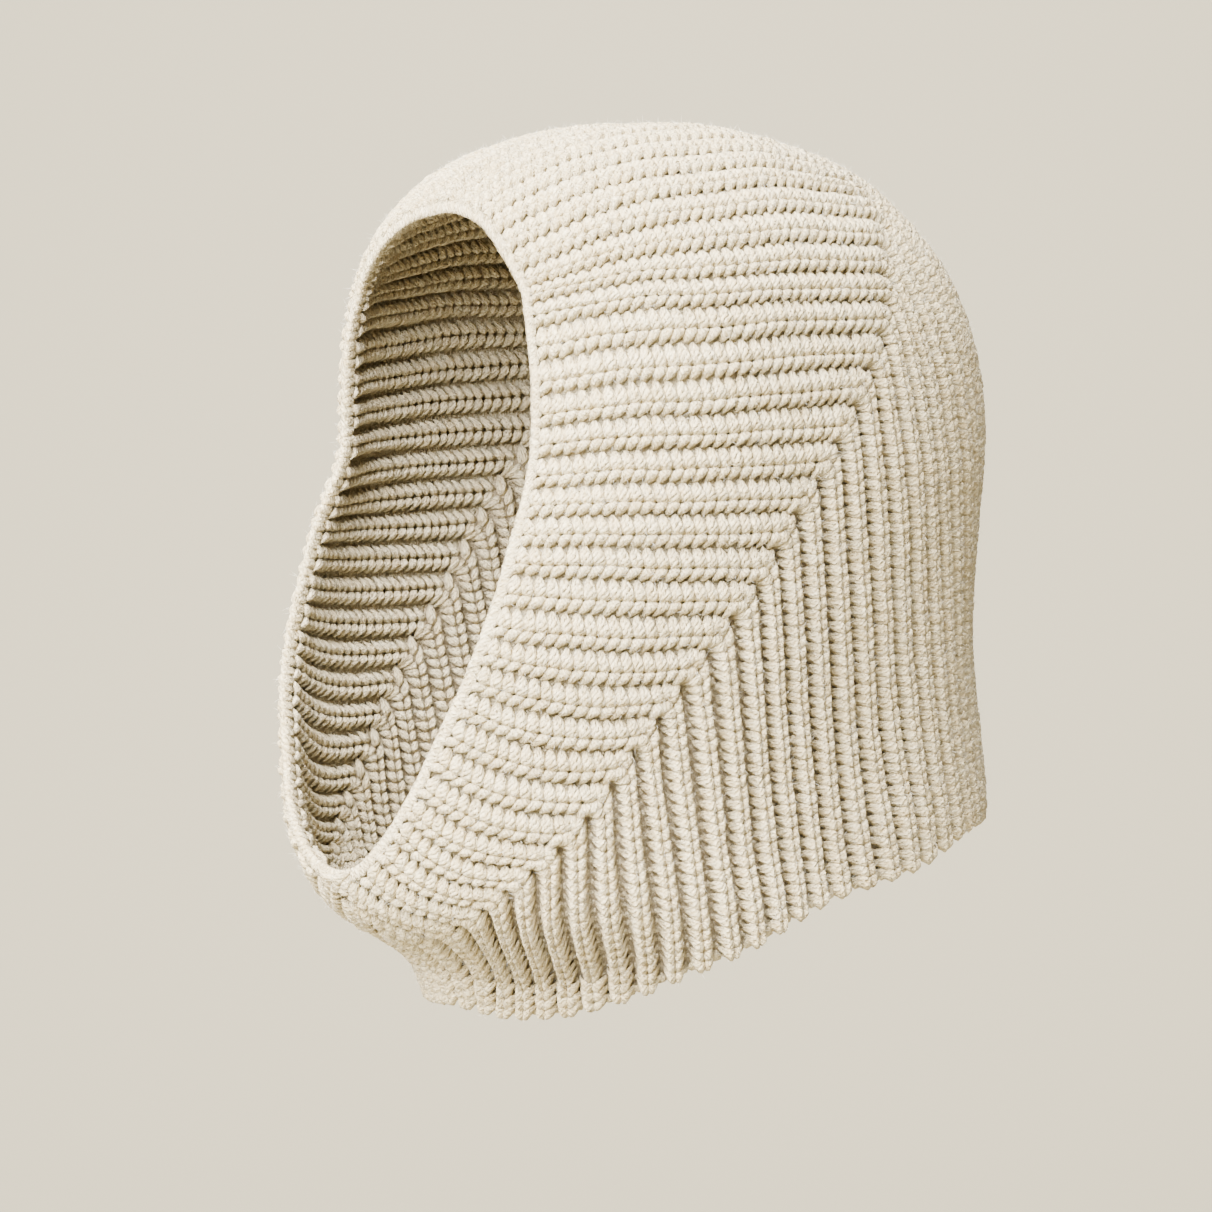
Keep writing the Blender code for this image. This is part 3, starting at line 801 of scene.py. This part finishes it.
ribs = np.linspace(0, RIM_ENDS_AT - 1e-6, 400)
rim = onto_form(rib_start(ribs))
rim[0, 0] = rim[-1, 0] = 0
rim_normal = way_out(rim)
ahead = np.gradient(rim, axis=0)
ahead[0], ahead[-1] = (1, 0, 0), (-1, 0, 0)
into = np.cross(ahead, rim_normal)
into /= np.linalg.norm(into, axis=1, keepdims=True)
EDGE_ARCH = [0.0002, 0.0016, 0.0026, 0.0020, 0.0008, 0.0002]
edge_legs = wrap_edge(rim, rim_normal, into, EDGE_WRAP)
face_edge = lay_legs("face_edge_stitches", outer_leg, join([edge_legs, other_side(edge_legs)]),
                     EDGE_ARCH, EDGE_PLUMP, yarn)

# %% [markdown]
# ## The bound-off hem
# At the neck every rib runs out to the hem. A thin bound-off row closes the ends of the stitches, set a
# little back from the crests, so that the round ends of the ribs show.

# %% Hem stitches
ribs = np.linspace(0, RIBS_A_SIDE, 500)
hem = onto_form(guide_points(over_both_ends(HEM), ribs))
hem[0, 0] = hem[-1, 0] = 0
hem_normal = way_out(hem)
ahead = np.gradient(hem, axis=0)
ahead[0], ahead[-1] = (1, 0, 0), (-1, 0, 0)
upwards = np.cross(ahead, hem_normal)
upwards /= np.linalg.norm(upwards, axis=1, keepdims=True)
HEM_WRAP = Wrap(back=0.0034, top=0.0021, bottom=0.0054, pitch=PITCH, full=0.54)
HEM_ARCH = [0.0002, 0.0013, 0.0020, 0.0017, 0.0008, 0.0002]
hem_legs = wrap_edge(hem, hem_normal, -upwards, HEM_WRAP)
hem_stitches = lay_legs("hem_stitches", outer_leg, join([hem_legs, other_side(hem_legs)]),
                        HEM_ARCH, EDGE_PLUMP, yarn)

# %% [markdown]
# ## Stray fibres
# Wool is never clean: fine fibres stand off the yarn and soften its outline. Each one here is a tiny
# spike, scattered over the outer stitches, and all those of one panel are one mesh.

# %% Scatter fibres over the stitches
FRONT_FIBRES, BACK_FIBRES = 9000, 13000
FIBRE_RADIUS, FIBRE_LENGTHS, FIBRE_ROOT = 0.00005, (0.0010, 0.0030), 0.0004
# Fibres start on the skin of a leg, so far above its middle line
SKIN = 0.0012
HALF_RIB = 0.005


def scatter_fibres(name, legs, arch, count, material):
    """Fine spikes that stand off the crests of random legs."""
    pick = chance.integers(0, len(legs.middle), count)
    share = chance.uniform(0.05, 0.85, count)
    depth = np.interp(share, ARCH_AT, arch) + SKIN
    across = legs.groove[pick] - legs.middle[pick]
    out, ahead = legs.normal[pick], legs.ahead[pick]
    root = (legs.middle[pick] + across * share[:, None] + out * depth[:, None]
            + ahead * (chance.uniform(-0.9, 0.9, count) * legs.thickness[pick]
                       - legs.lean[pick] * share ** LEAN_CURVE)[:, None])
    way = (out * chance.uniform(0.15, 0.9, count)[:, None] + ahead * chance.normal(0, 0.8, count)[:, None]
           + across / HALF_RIB * chance.normal(0, 0.8, count)[:, None])
    way /= np.linalg.norm(way, axis=1, keepdims=True)
    tip = root + way * chance.uniform(*FIBRE_LENGTHS, count)[:, None]
    root = root - way * FIBRE_ROOT
    side = np.cross(way, out + 1e-4)
    side /= np.linalg.norm(side, axis=1, keepdims=True)
    up = np.cross(way, side)
    ring = [side * np.cos(turn) + up * np.sin(turn) for turn in (0, 2 * pi / 3, 4 * pi / 3)]
    points = np.stack([root + part * FIBRE_RADIUS for part in ring] + [tip], axis=1).reshape(-1, 3)
    spike = [(0, 2, 1), (0, 1, 3), (1, 2, 3), (2, 0, 3)]
    return join_copies(name, points + unevenness(points), spike, count, material)


# %% The fibres' material, and their places
fibre = bpy.data.materials.new("wool_fibre")
fibre.use_nodes = True
place = fibre.node_tree.nodes.new("ShaderNodeTexCoord")
drift = fibre.node_tree.nodes.new("ShaderNodeTexNoise")
drift.inputs["Scale"].default_value = 300
fibre_colours = fibre.node_tree.nodes.new("ShaderNodeValToRGB")
fibre_colours.color_ramp.elements[0].color = (0.86, 0.80, 0.67, 1)
fibre_colours.color_ramp.elements[1].color = (0.97, 0.93, 0.83, 1)
fibre.node_tree.links.new(place.outputs["Object"], drift.inputs["Vector"])
fibre.node_tree.links.new(drift.outputs["Fac"], fibre_colours.inputs["Fac"])
fibre.node_tree.links.new(fibre_colours.outputs["Color"],
                          fibre.node_tree.nodes["Principled BSDF"].inputs["Base Color"])
fibre.node_tree.nodes["Principled BSDF"].inputs["Roughness"].default_value = 0.7
front_fibres = scatter_fibres("front_fibres", join([front_legs, other_side(front_legs)]), FRONT_ARCH,
                              FRONT_FIBRES, fibre)
back_fibres = scatter_fibres("back_fibres", join([back_legs, other_side(back_legs)]), BACK_ARCH,
                             BACK_FIBRES, fibre)

# %% [markdown]
# ## Tie the pieces to the frame
# Every piece rides on the frame's one body and stands for the solid that it dresses.

# %% Ride and replace
for piece in (front_stitches, front_lining, front_core, front_fibres):
    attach(piece, "root")
    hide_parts("front_panel")
for piece in (back_left, back_right, back_lining_left, back_lining_right, back_core, back_fibres):
    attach(piece, "root")
    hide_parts("back_panel")
for piece, node in ((face_edge, "face_edge"), (hem_stitches, "hem_band")):
    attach(piece, "root")
    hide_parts(node)

# %% [markdown]
# ## Floor and light
# A seamless sheet lies well below the hood and sweeps up behind it. The light is one broad soft source from
# the upper left of the picture, with a weak one overhead and a dim warm surrounding. The sheet is rather
# dark, so that it throws little light up under the chin, and a lamp of its own makes it pale behind the hood.

# %% Seamless floor
FLOOR_SIZE, FLOOR_CENTRE, FLOOR_LEVEL = 7, (0, 0.6, 0), -0.62
BACKDROP_HEIGHT, SWEEP_RADIUS, SWEEP_SEGMENTS = 5, 2.2, 24
FLOOR_TURN = radians(57)
bpy.ops.object.select_all(action="DESELECT")
bpy.ops.mesh.primitive_plane_add(size=FLOOR_SIZE, location=FLOOR_CENTRE)
floor = bpy.context.object
floor.name = "floor"
bpy.ops.object.mode_set(mode="EDIT")
sheet = bmesh.from_edit_mesh(floor.data)
bpy.ops.mesh.select_all(action="DESELECT")
sheet.select_mode = {"EDGE"}
for edge in sheet.edges:
    edge.select_set(all(vertex.co.y > 3 for vertex in edge.verts))
sheet.select_flush_mode()
bpy.ops.mesh.extrude_edges_move(TRANSFORM_OT_translate={"value": (0, 0, BACKDROP_HEIGHT)})
for edge in sheet.edges:
    edge.select_set(all(vertex.co.y > 3 and vertex.co.z < 1 for vertex in edge.verts))
sheet.select_flush_mode()
bpy.ops.mesh.bevel(offset=SWEEP_RADIUS, segments=SWEEP_SEGMENTS, affect="EDGES")
bpy.ops.object.mode_set(mode="OBJECT")
bpy.ops.object.shade_smooth()
floor.data.transform(Matrix.Translation((0, 0, FLOOR_LEVEL)) @ Matrix.Rotation(FLOOR_TURN, 4, "Z"))
paper = bpy.data.materials.new("pale_paper")
paper.use_nodes = True
paper.node_tree.nodes["Principled BSDF"].inputs["Base Color"].default_value = (0.27, 0.247, 0.184, 1)
paper.node_tree.nodes["Principled BSDF"].inputs["Roughness"].default_value = 0.95
paper.node_tree.nodes["Principled BSDF"].inputs["Specular IOR Level"].default_value = 0.1
floor.data.materials.append(paper)
print("floor faces:", len(floor.data.polygons))

# %% Lights
world = bpy.data.worlds.new("studio")
world.use_nodes = True
world.node_tree.nodes["Background"].inputs["Color"].default_value = (1.0, 0.96, 0.89, 1)
world.node_tree.nodes["Background"].inputs["Strength"].default_value = 0.27
bpy.context.scene.world = world


def soft_light(name, place, size, power, aim):
    """A broad area light aimed at a place."""
    data = bpy.data.lights.new(name, "AREA")
    data.shape = "SQUARE"
    data.size = size
    data.energy = power
    data.color = (1.0, 0.96, 0.90)
    light = bpy.data.objects.new(name, data)
    light.location = place
    light.rotation_euler = (Vector(aim) - Vector(place)).to_track_quat("-Z", "Y").to_euler()
    bpy.context.scene.collection.objects.link(light)


soft_light("key", place=(0.63, -1.45, 1.10), size=1.9, power=460, aim=looks_at)
soft_light("top", place=(0.2, 0.1, 1.9), size=1.6, power=45, aim=looks_at)
soft_light("backdrop_light", place=(-1.20, 0.78, 1.9), size=1.6, power=380, aim=(-2.8, 1.83, 0.3))
print("lights: a key, a weak top light and one for the backdrop")
